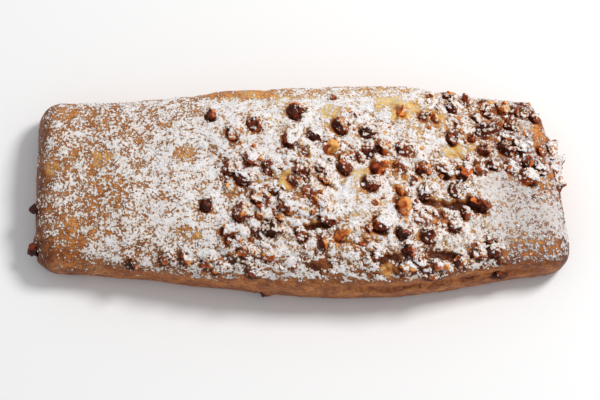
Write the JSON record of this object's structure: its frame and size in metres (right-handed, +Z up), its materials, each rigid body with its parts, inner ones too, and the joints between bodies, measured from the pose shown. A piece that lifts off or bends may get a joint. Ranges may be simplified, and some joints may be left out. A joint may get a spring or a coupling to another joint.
{
  "type": "nut turnover pastry",
  "caption": "Long baked pastry with a flat base, bulging sides, rounded ends and chopped roasted nuts fused to its top; a single-serving baked good.",
  "frame": {"origin": "on the flat base, halfway along the pastry and midway across its ends", "axes": "+X along the pastry to its right end, +Y to its back, +Z up from the base"},
  "size_m": [0.1561, 0.062, 0.0285],
  "materials": {
    "crust": "baked golden crust dusted with white icing sugar, with roasted chopped nuts"
  },
  "bodies": {
    "root": {"nut_turnover": "crust"}
  },
  "joints": []
}
